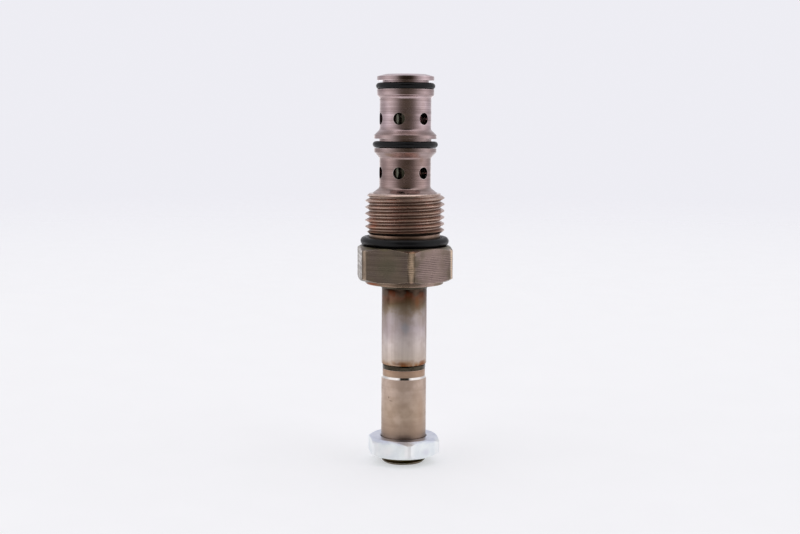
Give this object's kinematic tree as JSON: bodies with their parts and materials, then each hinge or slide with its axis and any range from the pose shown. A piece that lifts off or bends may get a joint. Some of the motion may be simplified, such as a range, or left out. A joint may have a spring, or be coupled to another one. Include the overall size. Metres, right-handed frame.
{
  "type": "solenoid cartridge valve",
  "caption": "Screw-in solenoid spool cartridge valve with a ported cage, hexagon body, guide tube and threaded coil nut.",
  "frame": {"origin": "on the valve's axis, in the plane of the hexagon's seat face that meets the manifold", "axes": "+Z along the axis towards the nose; +X to the right and -Y towards the viewer when the valve stands on its stub"},
  "size_m": [0.0268, 0.0282, 0.1094],
  "materials": {
    "cage_steel": "fine turned steel, warm grey",
    "plated_steel": "turned and plated steel with a bronze tint",
    "tube_steel": "drawn stainless tube, polished along its length",
    "core_steel": "satin ground steel",
    "braze": "dull braze metal",
    "zinc_nut": "bright zinc plating",
    "seal_rubber": "smooth black nitrile rubber",
    "hardened_steel": "ground hardened steel",
    "spring_steel": "drawn spring wire"
  },
  "bodies": {
    "valve_body": {"cage": "cage_steel", "hex_adapter": "plated_steel", "guide_tube": "tube_steel", "pole_piece": "core_steel", "front_braze_ring": "braze", "rear_braze_ring": "braze", "seat_o_ring": "seal_rubber", "middle_o_ring": "seal_rubber", "nose_o_ring": "seal_rubber", "spool_stop_washer": "core_steel", "residual_shim": "braze", "return_spring": "spring_steel"},
    "spool_set": {"spool": "hardened_steel", "plunger": "core_steel", "coupling_pin": "hardened_steel"},
    "nut_seal": {"nut_seal_ring": "seal_rubber"},
    "nut": {"coil_nut": "zinc_nut"}
  },
  "joints": [
    {"name": "spool_slide", "type": "slide", "parent": "valve_body", "child": "spool_set", "axis": [0, 0, -1], "range_m": [0, 0.0034], "stiffness_N_per_m": 1500, "springref_m": -0.004, "deforming": ["return_spring"]},
    {"name": "nut_travel", "type": "slide", "parent": "valve_body", "child": "nut_seal", "axis": [0, 0, -1], "range_m": [0, 0.0022]},
    {"name": "nut_turn", "type": "hinge", "parent": "nut_seal", "child": "nut", "pos_m": [0, 0, -0.057], "axis": [0, 0, -1], "range_deg": [0, 624]}
  ],
  "couplings": [
    {"joint": "nut_turn", "follows": "nut_travel", "rad_per_m": 4947.4}
  ]
}
